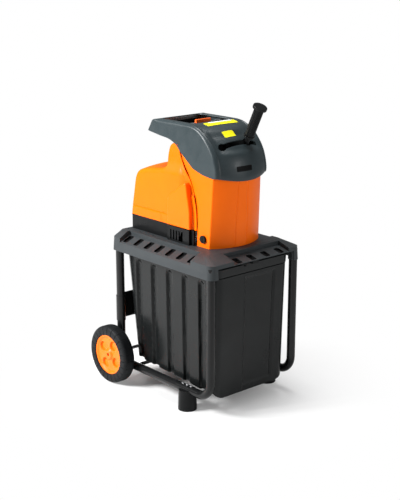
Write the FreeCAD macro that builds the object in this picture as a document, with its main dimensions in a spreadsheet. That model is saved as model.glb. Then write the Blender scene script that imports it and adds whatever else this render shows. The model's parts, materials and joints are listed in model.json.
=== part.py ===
import FreeCAD, Part
import math
import os
import re
import Sketcher

# Electric garden shredder on a two-wheeled tube frame with a slide-out box.
# Frame: +X to the machine's right, -Y to the front (where the box comes out), +Z up.
# The origin is on the floor, under the middle of the machine's bounding box.

Vector = FreeCAD.Vector
X_AXIS = Vector(1, 0, 0)
Y_AXIS = Vector(0, 1, 0)
Z_AXIS = Vector(0, 0, 1)

doc = FreeCAD.newDocument("garden_shredder")

# ---------------------------------------------------------------- driving dimensions, mm
DIMENSIONS = {
    # deck
    "deck_half_width": 197, "deck_front": 291.25, "deck_rear": 219.25,
    "skirt_bottom": 463.5, "deck_shoulder": 509, "deck_top": 528, "deck_wall": 2.5,
    "band_inner": 511, "band_outer": 497, "band_edge": 150, "top_half_width": 162,
    "slot_width": 23, "slot_pitch": 54.7,
    # tube frame
    "tube_radius": 14, "tube_wall": 1.5, "leg_reach": 180, "front_leg": 271.75,
    "rear_leg": 190.25, "rail_height": 67.5, "bend_radius": 55, "tube_top": 498,
    "joint_place": 165, "fit_gap": 0.3,
    # wheels
    "wheel_radius": 100, "wheel_width": 46, "wheel_face": 242.8, "axle_place": 191.25,
    "axle_radius": 6, "hub_radius": 69, "running_gap": 0.05,
    # feet
    "foot_place": 158.75, "foot_radius": 29,
    # box
    "box_half_width": 160, "box_front": 271, "box_rear": 188, "box_floor": 88, "floor_drop": 24,
    "box_top": 458, "box_wall": 2.5, "box_taper": 41, "panel_foot": 52,
    # housings
    "tower_half_width": 108, "tower_corner": 182, "tower_bulge": 36, "tower_lean": 12,
    "shell_wall": 3, "base_top": 577.5, "cover_half_width": 117, "hood_half_width": 111,
    # drive
    "cutter_x": 8, "cutter_height": 590, "motor_height": 655, "roller_radius": 40,
    "shaft_radius": 11, "rotor_shaft_radius": 7, "rotor_radius": 30, "stator_radius": 60,
    # tamper
    "tamper_x": 36, "grip_radius": 16, "knob_radius": 23,
}

sheet = doc.addObject("Spreadsheet::Sheet", "dims")
for row, (word, value) in enumerate(DIMENSIONS.items(), start=1):
    sheet.set("A%d" % row, word)
    sheet.set("B%d" % row, str(value))
    sheet.setAlias("B%d" % row, word)
doc.recompute()


def bound(expression):
    """The expression with every sheet word written as dims.word."""
    def mark(found):
        word = found.group(0)
        return "dims." + word if word in DIMENSIONS else word
    return re.sub(r"[a-z][a-z_]+", mark, str(expression))


def size(expression):
    """The expression's value in millimetres, read from the sheet."""
    return float(sheet.evalExpression(bound(expression)))


def tie(item, path, expression):
    """Bind one property to the sheet, or set it when it is a plain number."""
    if isinstance(expression, str):
        item.setExpression(path, bound(expression))
    elif path.startswith(".Placement.Base."):
        setattr(item.Placement.Base, path[-1], expression)
    else:
        setattr(item, path, expression)


def place(item, corner, rotation=None):
    base = Vector(*[size(value) for value in corner])
    item.Placement = FreeCAD.Placement(base, rotation or FreeCAD.Rotation())
    for letter, value in zip("xyz", corner):
        if isinstance(value, str):
            tie(item, ".Placement.Base." + letter, value)
    return item


def less(high, low):
    """high minus low, as a number when both are numbers."""
    if isinstance(high, str) or isinstance(low, str):
        return "(%s) - (%s)" % (high, low)
    return high - low


# ---------------------------------------------------------------- parametric building blocks
def box(low, high):
    item = doc.addObject("Part::Box", "box")
    for path, a, b in zip(("Length", "Width", "Height"), low, high):
        tie(item, path, less(b, a))
    return place(item, low)


TURNS = {"x": FreeCAD.Rotation(Y_AXIS, 90), "y": FreeCAD.Rotation(X_AXIS, -90), "z": FreeCAD.Rotation()}


def rod(axis, across, start, end, radius):
    """A cylinder along x, y or z; across holds the two other coordinates in order."""
    item = doc.addObject("Part::Cylinder", "rod")
    tie(item, "Radius", radius)
    tie(item, "Height", less(end, start))
    corner = list(across)
    corner.insert("xyz".index(axis), start)
    return place(item, corner, TURNS[axis])


def cone(axis, across, start, end, first_radius, last_radius):
    item = doc.addObject("Part::Cone", "cone")
    tie(item, "Radius1", first_radius)
    tie(item, "Radius2", last_radius)
    tie(item, "Height", less(end, start))
    corner = list(across)
    corner.insert("xyz".index(axis), start)
    return place(item, corner, TURNS[axis])


def fuse(*items):
    whole = doc.addObject("Part::MultiFuse", "fuse")
    whole.Shapes = list(items)
    whole.Refine = True
    return whole


def cut(base, *tools):
    result = doc.addObject("Part::Cut", "cut")
    result.Base = base
    result.Tool = tools[0] if len(tools) == 1 else fuse(*tools)
    return result


def group(*items):
    """Separate solids kept together in one node, such as identical screws."""
    whole = doc.addObject("Part::Compound", "group")
    whole.Links = list(items)
    return whole


def ring(axis, across, start, end, outer, inner):
    return cut(rod(axis, across, start, end, outer), rod(axis, across, less(start, 1), less(end, -1), inner))


PLANES = {"x": "YZ_Plane", "y": "XZ_Plane", "z": "XY_Plane"}


def sketch_on(body, axis, corners, offset=0):
    """A closed outline with every corner held by two distances bound to the sheet."""
    plane = [item for item in body.Origin.OriginFeatures if item.Role == PLANES[axis]][0]
    sketch = body.newObject("Sketcher::SketchObject", "outline")
    sketch.AttachmentSupport = [(plane, "")]
    sketch.MapMode = "FlatFace"
    sketch.AttachmentOffset = FreeCAD.Placement(Vector(0, 0, size(offset)), FreeCAD.Rotation())
    if isinstance(offset, str):
        sketch.setExpression(".AttachmentOffset.Base.z", bound(offset))
    spots = [Vector(size(a), size(b), 0) for a, b in corners]
    count = len(spots)
    for index in range(count):
        sketch.addGeometry(Part.LineSegment(spots[index], spots[(index + 1) % count]), False)
    for index in range(count):
        sketch.addConstraint(Sketcher.Constraint("Coincident", index, 2, (index + 1) % count, 1))
    for index, (corner, spot) in enumerate(zip(corners, spots)):
        for kind, expression, value in zip(("DistanceX", "DistanceY"), corner, (spot.x, spot.y)):
            held = sketch.addConstraint(Sketcher.Constraint(kind, -1, 1, index, 1, value))
            if isinstance(expression, str):
                sketch.setExpression("Constraints[%d]" % held, bound(expression))
    return sketch


def pad(axis, corners, start, end):
    """An outline padded along x, y or z from start to end.

    The outline's corners are (y, z) for x, (x, z) for y and (x, y) for z."""
    body = doc.addObject("PartDesign::Body", "body")
    away = "-(%s)" % start if isinstance(start, str) else -start
    sketch = sketch_on(body, axis, corners, away if axis == "y" else start)
    feature = body.newObject("PartDesign::Pad", "pad")
    feature.Profile = sketch
    feature.Reversed = axis == "y"
    tie(feature, "Length", less(end, start))
    return body


def revolve(axis, outline, centre):
    """A turned part: outline corners are (along, radius), turned about an axis line through centre."""
    body = doc.addObject("PartDesign::Body", "body")
    sketch = sketch_on(body, "y", outline)
    feature = body.newObject("PartDesign::Revolution", "turn")
    feature.Profile = sketch
    feature.ReferenceAxis = (sketch, ["H_Axis"])
    feature.Angle = 360
    turn = {"x": FreeCAD.Rotation(), "y": FreeCAD.Rotation(Z_AXIS, 90), "z": FreeCAD.Rotation(Y_AXIS, -90)}
    return place(body, centre, turn[axis])


# ---------------------------------------------------------------- shapes that need Part's own functions
def feature(shape):
    item = doc.addObject("Part::Feature", "form")
    item.Shape = shape
    return item


def loop(points):
    return Part.makePolygon([Vector(*point) for point in points] + [Vector(*points[0])])


def prism(axis, corners, start, end):
    """An outline (spots across the axis, in x, y, z order) extruded from start to end."""
    rank = "xyz".index(axis)
    spots = []
    for corner in corners:
        spot = list(corner)
        spot.insert(rank, start)
        spots.append(spot)
    step = [0, 0, 0]
    step[rank] = end - start
    return Part.Face(loop(spots)).extrude(Vector(*step))


def block(low, high):
    low, high = Vector(*low), Vector(*high)
    reach = high - low
    return Part.makeBox(reach.x, reach.y, reach.z, low)


def rounded(left, right, front, rear, height, radius):
    """A rectangle with round corners at one height."""
    wire = []
    bends = ((right - radius, front + radius, -90), (right - radius, rear - radius, 0),
             (left + radius, rear - radius, 90), (left + radius, front + radius, 180))
    previous = None
    for x, y, start in bends:
        circle = Part.Circle(Vector(x, y, height), Z_AXIS, radius)
        arc = circle.toShape(math.radians(start), math.radians(start + 90))
        if previous is not None:
            wire.append(Part.LineSegment(previous, arc.Vertexes[0].Point).toShape())
        wire.append(arc)
        previous = arc.Vertexes[-1].Point
    wire.append(Part.LineSegment(previous, wire[0].Vertexes[0].Point).toShape())
    return Part.Wire(wire)


def loft(wires, ruled=True):
    return Part.makeLoft(wires, True, ruled)


def bent_tube(corners, bend, radius):
    """A solid along straight runs joined by arcs of one bend radius."""
    spots = [Vector(*corner) for corner in corners]
    edges = []
    previous = spots[0]
    for before, corner, after in zip(spots, spots[1:], spots[2:]):
        into = (before - corner).normalize()
        out = (after - corner).normalize()
        reach = bend / math.tan(into.getAngle(out) / 2)
        first = corner + into * reach
        last = corner + out * reach
        middle = (into + out).normalize()
        centre = corner + middle * math.hypot(bend, reach)
        edges.append(Part.LineSegment(previous, first).toShape())
        edges.append(Part.Arc(first, centre - middle * bend, last).toShape())
        previous = last
    edges.append(Part.LineSegment(previous, spots[-1]).toShape())
    path = Part.Wire(edges)
    start = Part.Wire(Part.Circle(spots[0], spots[1] - spots[0], radius).toShape())
    return path.makePipeShell([start], True, False)


NODES = {}


def node(name, item):
    """Name a finished sub-part."""
    item.Label = name
    NODES[name] = item
    return item


SIDES = (("left", -1), ("right", 1))


# ---------------------------------------------------------------- tube frame
def side_tubes(side, sign):
    """One side of the frame: a front leg and a rear leg with the floor rail, joined at a sleeve."""
    x = sign * size("leg_reach")
    top, rail = size("tube_top"), size("rail_height")
    front, rear = -size("front_leg"), size("rear_leg")
    joint = -size("joint_place")
    outer, inner = size("tube_radius"), size("tube_radius - tube_wall")
    runs = {
        "front": [(x, front, top), (x, front, rail), (x, joint - 0.5, rail)],
        "rear": [(x, rear, top), (x, rear, rail), (x, joint + 0.5, rail)],
    }
    for end, run in runs.items():
        tube = bent_tube(run, size("bend_radius"), outer)
        hollow = tube.cut(bent_tube(run, size("bend_radius"), inner))
        if end == "rear":
            hole = Part.makeCylinder(size("axle_radius + running_gap"), 60,
                                     Vector(x - 30, size("axle_place"), size("wheel_radius")), X_AXIS)
            hollow = hollow.cut(hole)
        for spot in FOOT_SCREWS:
            drill = Part.makeCylinder(2.6, 60, Vector(x, spot, rail - 30), Z_AXIS)
            hollow = hollow.cut(drill)
        node("%s_%s_tube" % (side, end), feature(hollow))


FOOT_SCREWS = [-size("foot_place") + step for step in (-19, 0, 21)]


def joiners():
    """Sleeves inside the rails, one on each side."""
    sleeve_outer = "tube_radius - tube_wall - 0.1"
    sleeves = []
    for side, sign in SIDES:
        x = "%d * leg_reach" % sign
        sleeve = ring("y", (x, "rail_height"), "-joint_place - 40", "-joint_place + 60", sleeve_outer, 10.5)
        drills = [rod("z", (x, spot), "rail_height - 30", "rail_height + 30", 2.6) for spot in FOOT_SCREWS]
        sleeves.append(cut(sleeve, *drills))
    node("tube_joiners", group(*sleeves))


def feet():
    """Tapered feet that cradle the rails, with their screws."""
    screws, bodies = [], []
    for side, sign in SIDES:
        x = "%d * leg_reach" % sign
        body = cone("z", (x, "-foot_place"), 0, "rail_height", "foot_radius + 2", "foot_radius")
        cradle = rod("y", (x, "rail_height"), "-foot_place - 60", "-foot_place + 60", "tube_radius + 0.05")
        hollow = cone("z", (x, "-foot_place"), -1, 30, 22, 20)
        drills = [rod("z", (x, spot), 28, "rail_height", 2.6) for spot in FOOT_SCREWS]
        bodies.append(cut(body, cradle, hollow, *drills))
        for spot in FOOT_SCREWS:
            shank = rod("z", (x, spot), 34, "rail_height + tube_radius + 0.3", 2.5)
            head = rod("z", (x, spot), "rail_height + tube_radius + 0.3",
                       "rail_height + tube_radius + 3.3", 4.5)
            recess = box((less(x, 0.6), spot - 3, "rail_height + tube_radius + 2"),
                         (less(x, -0.6), spot + 3, "rail_height + tube_radius + 4"))
            screws.append(cut(fuse(shank, head), recess))
    node("front_feet", group(*bodies))
    node("foot_screws", group(*screws))


def crossbars():
    """Flat bars that carry the box between the rails, and the plate between the rear legs."""
    bars = []
    for y, reach, low in ((-204, "leg_reach - 12.8", "rail_height - 9"),
                          (95, "leg_reach - 13.7", "rail_height + 8")):
        bars.append(box(("-(%s)" % reach, y - 11, low), (reach, y + 11, low + " + 3")))
    node("crossbars", group(*bars))
    y = "rear_leg"
    plate = box(("-leg_reach", "rear_leg + tube_radius + 0.3", 214),
                ("leg_reach", "rear_leg + tube_radius + 6", 303))
    clamps = []
    for side, sign in SIDES:
        clamps.append(rod("z", ("%d * leg_reach" % sign, y), 214, 303, "tube_radius + 2"))
    holes = [rod("z", ("%d * leg_reach" % sign, y), 200, 320, "tube_radius + 0.1") for side, sign in SIDES]
    node("rear_cross_plate", cut(fuse(plate, *clamps), *holes))


# ---------------------------------------------------------------- wheels and axle
def wheel(side, sign):
    face = "%d * wheel_face" % sign
    y, z = "axle_place", "wheel_radius"
    # the outline runs inward from the outer face, as (depth, radius)
    tyre_outline = [(0.5, "hub_radius + 1"), (0, "hub_radius + 6"), (0, "wheel_radius - 7"),
                    (5, "wheel_radius - 0.5"),
                    (9, "wheel_radius"), ("wheel_width - 9", "wheel_radius"),
                    ("wheel_width - 5", "wheel_radius - 0.5"), ("wheel_width", "wheel_radius - 7"),
                    ("wheel_width", "hub_radius + 1")]
    hub_outline = [(4, 0), (4, "hub_radius - 6"), (1.5, "hub_radius - 2"), (1.5, "hub_radius + 0.9"),
                   ("wheel_width - 2", "hub_radius + 0.9"), ("wheel_width - 2", "hub_radius - 3"),
                   (10, "hub_radius - 7"), (10, 19), ("wheel_width", 15), ("wheel_width", 0)]
    flip = [("%d * (%s)" % (-sign, depth), radius) for depth, radius in tyre_outline]
    tyre = revolve("x", flip, (face, y, z))
    notches = []
    count = 24
    for index in range(count):
        turn = 360.0 * index / count
        notch = doc.addObject("Part::Box", "notch")
        notch.Length = 60
        notch.Width = 4
        notch.Height = 12
        at = Vector(math.sin(math.radians(turn)), 0, math.cos(math.radians(turn)))
        centre = Vector(size(face) - 30, size(y), size(z))
        spin = FreeCAD.Rotation(X_AXIS, turn)
        reach = size("wheel_radius") - 3.2
        notch.Placement = FreeCAD.Placement(centre + spin.multVec(Vector(0, -2, reach)), spin)
        notches.append(notch)
    node("%s_tyre" % side, cut(tyre, *notches))
    hub = revolve("x", [("%d * (%s)" % (-sign, depth), radius) for depth, radius in hub_outline],
                  (face, y, z))
    bore = rod("x", (y, z), less(face, 60 if sign > 0 else -10.2), less(face, 10.2 if sign > 0 else -60),
               "axle_radius + running_gap")
    dimples = []
    for index in range(4):
        turn = math.radians(45 + 90 * index)
        across = ("axle_place + %.3f" % (38 * math.cos(turn)), "wheel_radius + %.3f" % (38 * math.sin(turn)))
        near = less(face, 7.5 if sign > 0 else 3)
        far = less(face, -3 if sign > 0 else -7.5)
        dimples.append(rod("x", across, near, far, 15))
    node("%s_hub" % side, cut(hub, bore, *dimples))


def axle():
    """The wheel axle with a push nut inside each end of it."""
    end = "wheel_face - 11"
    node("axle", rod("x", ("axle_place", "wheel_radius"), "-(%s)" % end, end, "axle_radius"))
    washers = []
    for side, sign in SIDES:
        near = "%d * (leg_reach + tube_radius + 0.6)" % sign
        far = "%d * (leg_reach + tube_radius + 2.2)" % sign
        low, high = (far, near) if sign < 0 else (near, far)
        washers.append(ring("x", ("axle_place", "wheel_radius"), low, high, 13, "axle_radius + 0.05"))
    node("axle_washers", group(*washers))


# ---------------------------------------------------------------- deck
def deck_block(inset):
    """The deck's outer form, or the hollow inside it when inset is above zero."""
    half, front, rear = size("deck_half_width"), -size("deck_front"), size("deck_rear")
    low, shoulder, top = size("skirt_bottom"), size("deck_shoulder"), size("deck_top")
    flare = 2.5
    drop = inset * 0.8
    base = low - (20 if inset else 0)

    def level(height, side, ahead, behind, radius):
        return rounded(-side + inset, side - inset, front + ahead + inset, rear - behind - inset,
                       height, radius - inset)
    skirt = loft([level(base, half, 0, 0, 24), level(shoulder - drop, half - flare, flare, flare, 23)])
    crown = loft([level(shoulder - drop, half - flare, flare, flare, 23),
                  level(top - inset, size("top_half_width"), 62, 10, 14)])
    whole = skirt.fuse(crown)
    return whole.cut(deck_bands(inset * 3.4))


def deck_bands(sink):
    """The lowered slotted bands along the left, right and front edges."""
    inner, outer, edge = size("band_inner") - sink, size("band_outer") - sink, size("band_edge") - sink
    half = size("deck_half_width") + 5
    lift = size("deck_top") + 10
    bands = None
    for side, sign in SIDES:
        corners = [(sign * edge, inner + 4), (sign * half, outer - 5), (sign * half, lift),
                   (sign * edge, lift)]
        band = prism("y", corners, -192 - sink, 170 + sink)
        bands = band if bands is None else bands.fuse(band)
    front = -size("deck_front") - 5
    corners = [(-240 + sink, inner), (front, outer), (front, lift), (-240 + sink, lift)]
    return bands.fuse(prism("x", corners, -100 - sink, 143 + sink))


def stadium(centre, length, width, along, low, high):
    """A slot cutter with round ends, along x or y."""
    x, y = centre
    radius = width / 4
    half, reach = width / 2, length / 2
    left, right, front, rear = (x - reach, x + reach, y - half, y + half)
    if along == "y":
        left, right, front, rear = (x - half, x + half, y - reach, y + reach)
    face = Part.Face(rounded(left, right, front, rear, low, radius))
    return face.extrude(Vector(0, 0, high - low))


SIDE_SLOTS = [-175.5 + 54.7 * index for index in range(7)]
FRONT_SLOTS = [-70.0 + 61.0 * index for index in range(4)]


def deck():
    shell = deck_block(0).cut(deck_block(size("deck_wall")))
    sockets = []
    for side, sign in SIDES:
        for y in (-size("front_leg"), size("rear_leg")):
            boss = Part.makeCylinder(16.8, 60, Vector(sign * size("leg_reach"), y, size("skirt_bottom")),
                                     Z_AXIS)
            sockets.append(boss)
    keep = deck_block(0)
    for boss in sockets:
        shell = shell.fuse(boss.common(keep))
    clear_x = size("box_half_width") + 3.6
    shell = shell.cut(block((-clear_x, -260, 400), (clear_x, 180, 499)))
    for side, sign in SIDES:
        for y in (-size("front_leg"), size("rear_leg")):
            bore = Part.makeCylinder(size("tube_radius") + 0.05, 60,
                                     Vector(sign * size("leg_reach"), y, size("tube_top") + 0.2 - 60),
                                     Z_AXIS)
            shell = shell.cut(bore)
    cutters = []
    pocket = deck_bands(6)
    for y in SIDE_SLOTS:
        for side, sign in SIDES:
            cutters.append(stadium((sign * 171, y), 34, size("slot_width"), "x", 480, 540).common(pocket))
    for x in FRONT_SLOTS:
        cutters.append(stadium((x, -271), 32, size("slot_width"), "y", 480, 540).common(pocket))
    for y in (196, 129, 62):
        cutters.append(stadium((-134, y), 16, 5, "y", 520, 540))
        cutters.append(stadium((134, y), 16, 5, "y", 520, 540))
    cutters.append(block((-56, -196, 500), (58, -128, 540)))
    cutters.append(block((-166, -300, 400), (166, -255, 496)))
    for x, y in GEARBOX_BOLTS:
        cutters.append(Part.makeCylinder(3.1, 40, Vector(x, y, 500), Z_AXIS))
    for cutter in cutters:
        shell = shell.cut(cutter)
    node("deck", feature(shell))


GEARBOX_BOLTS = [(-62, -110), (102, -110), (-62, -70), (102, -70)]


# ---------------------------------------------------------------- collection box
def box_form(inset, floor, top):
    half, front = size("box_half_width"), -size("box_front") + 4
    rear, taper = size("box_rear"), size("box_taper")

    def level(height):
        share = (size("box_top") - height) / (size("box_top") - size("box_floor"))
        return rounded(-half + inset + 6 * share, half - inset - 6 * share, front + inset + 12 * share,
                       rear - inset - taper * share, height, 30 - inset)
    deep = floor - size("floor_drop")
    ground = prism("x", [(-300, deep), (rear, floor), (rear + 20, floor), (rear + 20, 0), (-300, 0)],
                   -200, 200)
    return loft([level(deep - 6), level(top)]).cut(ground)


def box_grooves(sink):
    """Upright grooves pressed into both long walls."""
    half = size("box_half_width")
    low, high = size("box_floor") - 40, size("box_top") - 26
    grooves = None
    for y in [-202 + 79 * index for index in range(5)]:
        for side, sign in SIDES:
            deep = half - 10 - sink
            corners = [(sign * (deep - 7), low), (sign * (half + 20), low),
                       (sign * (half + 20), high + sink),
                       (sign * (half - 1), high + sink), (sign * deep, high - 14 + sink)]
            groove = prism("y", corners, y - 15 - sink, y + 15 + sink)
            grooves = groove if grooves is None else grooves.fuse(groove)
    return grooves


def collection_box():
    wall = size("box_wall")
    floor, top = size("box_floor"), size("box_top")
    outer = box_form(0, floor, top).cut(box_grooves(0))
    inner = box_form(wall, floor + wall, top + 5).cut(box_grooves(wall))
    node("box_body", feature(outer.cut(inner)))
    half = size("box_half_width")
    rim_outer = loft([rounded(-half - 2.5, half + 2.5, -273, size("box_rear") + 2.5, top + 0.1, 30),
                      rounded(-half - 2.5, half + 2.5, -275, size("box_rear") + 2.5, top + 28, 30)])
    rim_inner = loft([rounded(-half + 3, half - 3, -262, size("box_rear") - 3, top - 1, 27),
                      rounded(-half + 3, half - 3, -262, size("box_rear") - 3, top + 30, 27)])
    node("box_rim", feature(rim_outer.cut(rim_inner)))
    front_panel()


def front_panel():
    """The smooth front of the box, which drops lower than the box's floor."""
    half, top, foot = size("box_half_width"), size("box_top") - 2, size("panel_foot")

    def shell(inset, low, high):
        def level(height, front):
            return rounded(-half - 0.5 + inset, half + 0.5 - inset, front + inset, -190, height, 32 - inset)
        return loft([level(low, -261), level(high, -274)])
    outer = shell(0, foot, top)
    inner = shell(3, foot - 1, top + 1)
    panel = outer.cut(inner).cut(block((-200, -236, 0), (200, -150, 500)))
    corner = 34
    for side, sign in SIDES:
        low = block((0, -300, foot - 1), (corner, -200, foot + corner))
        low.translate(Vector(half + 1 - corner if sign > 0 else -half - 1, 0, 0))
        keep = Part.makeCylinder(corner, 100, Vector(sign * (half + 0.5 - corner), -300, foot + corner),
                                 Y_AXIS)
        panel = panel.cut(low.cut(keep))
    panel = panel.cut(box_form(-0.4, size("box_floor") - 1, size("box_top") + 5))
    pieces = sorted(panel.Solids, key=lambda solid: -solid.Volume)
    node("box_front_panel", feature(pieces[0]))


def box_lock():
    """The sliding catch over the box's front edge and the safety switch it works."""
    slide = box((-62, -290, 490.5), (-34, -277, 495.2))
    tab = box((-52, -290, 484.5), (-44, -281, 490.6))
    node("lock_slider", fuse(slide, tab))
    switch = box((-20, -290, 487.5), (6, -277, 495.9))
    plunger = box((-23.5, -286, 490.5), (-19.9, -281, 494.5))
    node("interlock_switch", fuse(switch, plunger))


# ---------------------------------------------------------------- upper housings
def front_line(height):
    """How far forward the tower's front corners are at a height."""
    share = (height - size("deck_top")) / 226.0
    return -size("tower_corner") - size("tower_lean") * share


def tower_section(height, inset):
    share = (height - size("deck_top")) / 226.0
    half = size("tower_half_width") - 5 * share - inset
    corner = front_line(height) + inset * 0.7
    middle = front_line(height) - size("tower_bulge") + inset
    rear = 60 - inset
    spots = [Vector(-half, rear, height), Vector(-half, corner, height),
             Vector(half, corner, height), Vector(half, rear, height)]
    return Part.Wire([
        Part.LineSegment(spots[0], spots[1]).toShape(),
        Part.Arc(spots[1], Vector(0, middle, height), spots[2]).toShape(),
        Part.LineSegment(spots[2], spots[3]).toShape(),
        Part.LineSegment(spots[3], spots[0]).toShape()])


SEAM = [(-27, 846), (-35, 826), (-46, 798), (-62, 773), (-81, 748), (-96, 722), (-111, 686),
        (-120, 650), (-124, 610), (-124, 560), (-123, 520)]


def seam_prism(forward, gap):
    """Everything in front of the seam curve, or everything behind it."""
    shift = -gap if forward else gap
    spots = [Vector(-200, y + shift, z) for y, z in SEAM]
    curve = Part.BSplineCurve()
    curve.interpolate(spots)
    far = -400 if forward else 400
    corner_low = Vector(-200, far, spots[-1].z)
    corner_high = Vector(-200, far, spots[0].z)
    outline = Part.Wire([curve.toShape(), Part.LineSegment(spots[-1], corner_low).toShape(),
                         Part.LineSegment(corner_low, corner_high).toShape(),
                         Part.LineSegment(corner_high, spots[0]).toShape()])
    return Part.Face(outline).extrude(Vector(400, 0, 0))


def tower():
    wall = size("shell_wall")
    low, high = size("deck_top") + 0.1, 800
    outer = loft([tower_section(low, 0), tower_section(high, 0)])
    inner = loft([tower_section(low - 5, wall), tower_section(high + 5, wall)])
    shell = outer.cut(inner).common(seam_prism(True, 0.4))
    crown = prism("x", [(-400, 900), (-400, 768), (-200, 768), (-140, 772), (-96, 784), (-60, 804),
                        (-28, 838),
                        (-20, 900)], -200, 200)
    shell = shell.cut(crown)
    hole = Part.makeCylinder(6.6, 40, Vector(-130, KNOB_PLACE[0], KNOB_PLACE[1]), X_AXIS)
    node("tower_shell", feature(shell.cut(hole)))


KNOB_PLACE = (-155.5, 556)

COVER_PROFILE = [(-160, 578), (211, 578), (207, 607), (189, 697), (180, 721), (160, 738), (120, 750),
                 (70, 759),
                 (38, 763), (28, 770), (21, 802), (13, 828), (-2, 845), (-160, 845)]


def cover_form(inset):
    """The motor cover with its neck: a side outline and a front outline crossed with each other."""
    half = size("cover_half_width")
    side = [(y - inset if y > -100 else y, z - (inset if z > 578 else 5 if inset else 0))
            for y, z in COVER_PROFILE]
    long = prism("x", side, -140, 140)
    top = 746 - inset
    motor = [(-half - 1 + inset, 570), (half + 1 - inset, 570), (half - 2 - inset, 715),
             (half - 10 - inset, top - 8), (60, top + 9), (0, top + 14), (-60, top + 9),
             (-half + 10 + inset, top - 8), (-half + 2 + inset, 715)]
    body = prism("y", motor, -130, 230)
    neck_half = 107 - inset
    neck = prism("y", [(-neck_half, 700), (neck_half, 700), (neck_half - 2, 850), (-neck_half + 2, 850)],
                 -130,
                 29 - 1.6 * inset)
    whole = long.common(body.fuse(neck))
    bulge = [(3, 570), (3, 655), (-4, 672), (-45, 702), (-84, 724), (-96, 690), (-106, 640), (-108, 570)]
    grown = [(y - inset * (1 if y > -40 else -1), z - (inset if z > 600 else 0)) for y, z in bulge]
    pod = prism("x", grown, -127 + inset, 127 - inset).common(prism("x", side, -140, 140))
    return whole.fuse(pod)


def motor_cover():
    wall = size("shell_wall")
    hollow = cover_form(wall)
    throat = hollow.common(block((-97, -200, 400), (97, 300, 1000)))
    hollow = hollow.common(seam_prism(False, 4)).fuse(throat)
    shell = cover_form(0).common(seam_prism(False, 0.4)).cut(hollow)
    panel_hole = prism("x", [(-10, 787), (40, 787), (40, 839.5), (-10, 839.5)], -60, 60)
    shell = shell.cut(panel_hole).cut(block((-97, -160, 838), (97, -5, 850)))
    inlet_hole = Part.makeCylinder(17.2, 60, Vector(52, 170, 640), Y_AXIS)
    solids = sorted(shell.cut(inlet_hole).Solids, key=lambda solid: -solid.Volume)
    node("motor_cover", feature(solids[0]))


def motor_base():
    """The vented black tray that the motor cover sits on."""
    low, high = size("deck_top") + 0.1, size("base_top")

    def outline(inset):
        half, pod, rear = 118 - inset, 127 - inset, 206 - inset
        right = [(half, -119), (half, -106 + inset), (pod, -106 + inset), (pod, 2 - inset),
                 (half, 2 - inset),
                 (half, rear - 8), (half - 8, rear)]
        return right + [(-x, y) for x, y in reversed(right)]
    outer = prism("z", outline(0), low, high)
    shell = outer.cut(prism("z", outline(size("shell_wall")), low - 2, high + 2))
    shell = shell.cut(block((-115, -130, low - 2), (115, -110, high + 2)))
    for side, sign in SIDES:
        for y in [-16 - 14 * index for index in range(5)]:
            near = sign * 118
            vent = block((near - 15, y - 3, 534), (near + 15, y + 3, 566))
            shell = shell.cut(vent)
    for x in [-80 + 20 * index for index in range(9)]:
        shell = shell.cut(block((x - 3, 195, 536), (x + 3, 220, 568)))
    solids = sorted(shell.Solids, key=lambda solid: -solid.Volume)
    node("motor_base", feature(solids[0]))


HOOD_LEVELS = [(742, 214.5, 34), (758, 217.5, 34), (795, 214, 34), (825, 203, 34), (851, 187, 33),
               (878, 163, 30),
               (896, 140, 24), (906, 118, 14), (912, 88, 6)]


def hood_section(height, front, bulge, inset):
    half = size("hood_half_width") - inset - max(0, (height - 870) * 0.08)
    rear = 128 - inset
    corner = -front + inset
    spots = [Vector(-half, rear, height), Vector(-half, corner, height),
             Vector(half, corner, height), Vector(half, rear, height)]
    return Part.Wire([
        Part.LineSegment(spots[0], spots[1]).toShape(),
        Part.Arc(spots[1], Vector(0, corner - bulge, height), spots[2]).toShape(),
        Part.LineSegment(spots[2], spots[3]).toShape(),
        Part.LineSegment(spots[3], spots[0]).toShape()])


HOOD_SKIRT = [(-400, 752), (-196, 757), (-156, 762), (-114, 774), (-87, 788), (-45, 818), (-19, 841),
              (14, 855),
              (60, 861), (133, 872)]


def hood_form(inset):
    drop = inset
    sections = [hood_section(z - drop * (1 if z > 860 else 0), front, bulge, inset)
                for z, front, bulge in HOOD_LEVELS]
    whole = loft(sections)
    under = prism("x", [(y, z + (inset if y > 20 else 0)) for y, z in HOOD_SKIRT]
                  + [(133, 600), (-400, 600)],
                  -200, 200)
    if inset:
        under = prism("x", [(-400, 700), (10, 700), (10, 855 + inset), (60, 861 + inset), (140, 873 + inset),
                            (140, 600), (-400, 600)], -200, 200)
        beak = prism("x", [(118 - inset, 850), (118 - inset, 872), (103 - inset, 930), (200, 930),
                           (200, 850)],
                     -200, 200)
        return whole.cut(under).cut(beak)
    beak = prism("x", [(118, 872), (103, 930), (200, 930), (200, 860), (133, 860)], -200, 200)
    return whole.cut(under).cut(beak)


TAMPER_SLOPE = Vector(0, -0.447, 0.8944).normalize()
TAMPER_FOOT = Vector(0, -202, 866)


def hood():
    wall = 3.5
    shell = hood_form(0).cut(hood_form(wall))
    mouth = loft([rounded(-80, 80, -74, 84, 880, 14), rounded(-84, 84, -78, 88, 930, 14)])
    shell = shell.cut(mouth)
    slot = Part.Face(rounded(-78, 78, -7, 7, -60, 6.9)).extrude(Vector(0, 0, 120))
    for x in (-66, TAMPER_SPOT):
        slot = slot.fuse(Part.makeCylinder(13, 120, Vector(x, 0, -60), Z_AXIS))
    slot.rotate(Vector(0, 0, 0), X_AXIS, math.degrees(math.atan2(-TAMPER_SLOPE.y, TAMPER_SLOPE.z)))
    slot.translate(TAMPER_FOOT)
    shell = shell.cut(slot)
    solids = sorted(shell.Solids, key=lambda solid: -solid.Volume)
    node("hood", feature(solids[0]))


TAMPER_SPOT = size("tamper_x")


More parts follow.
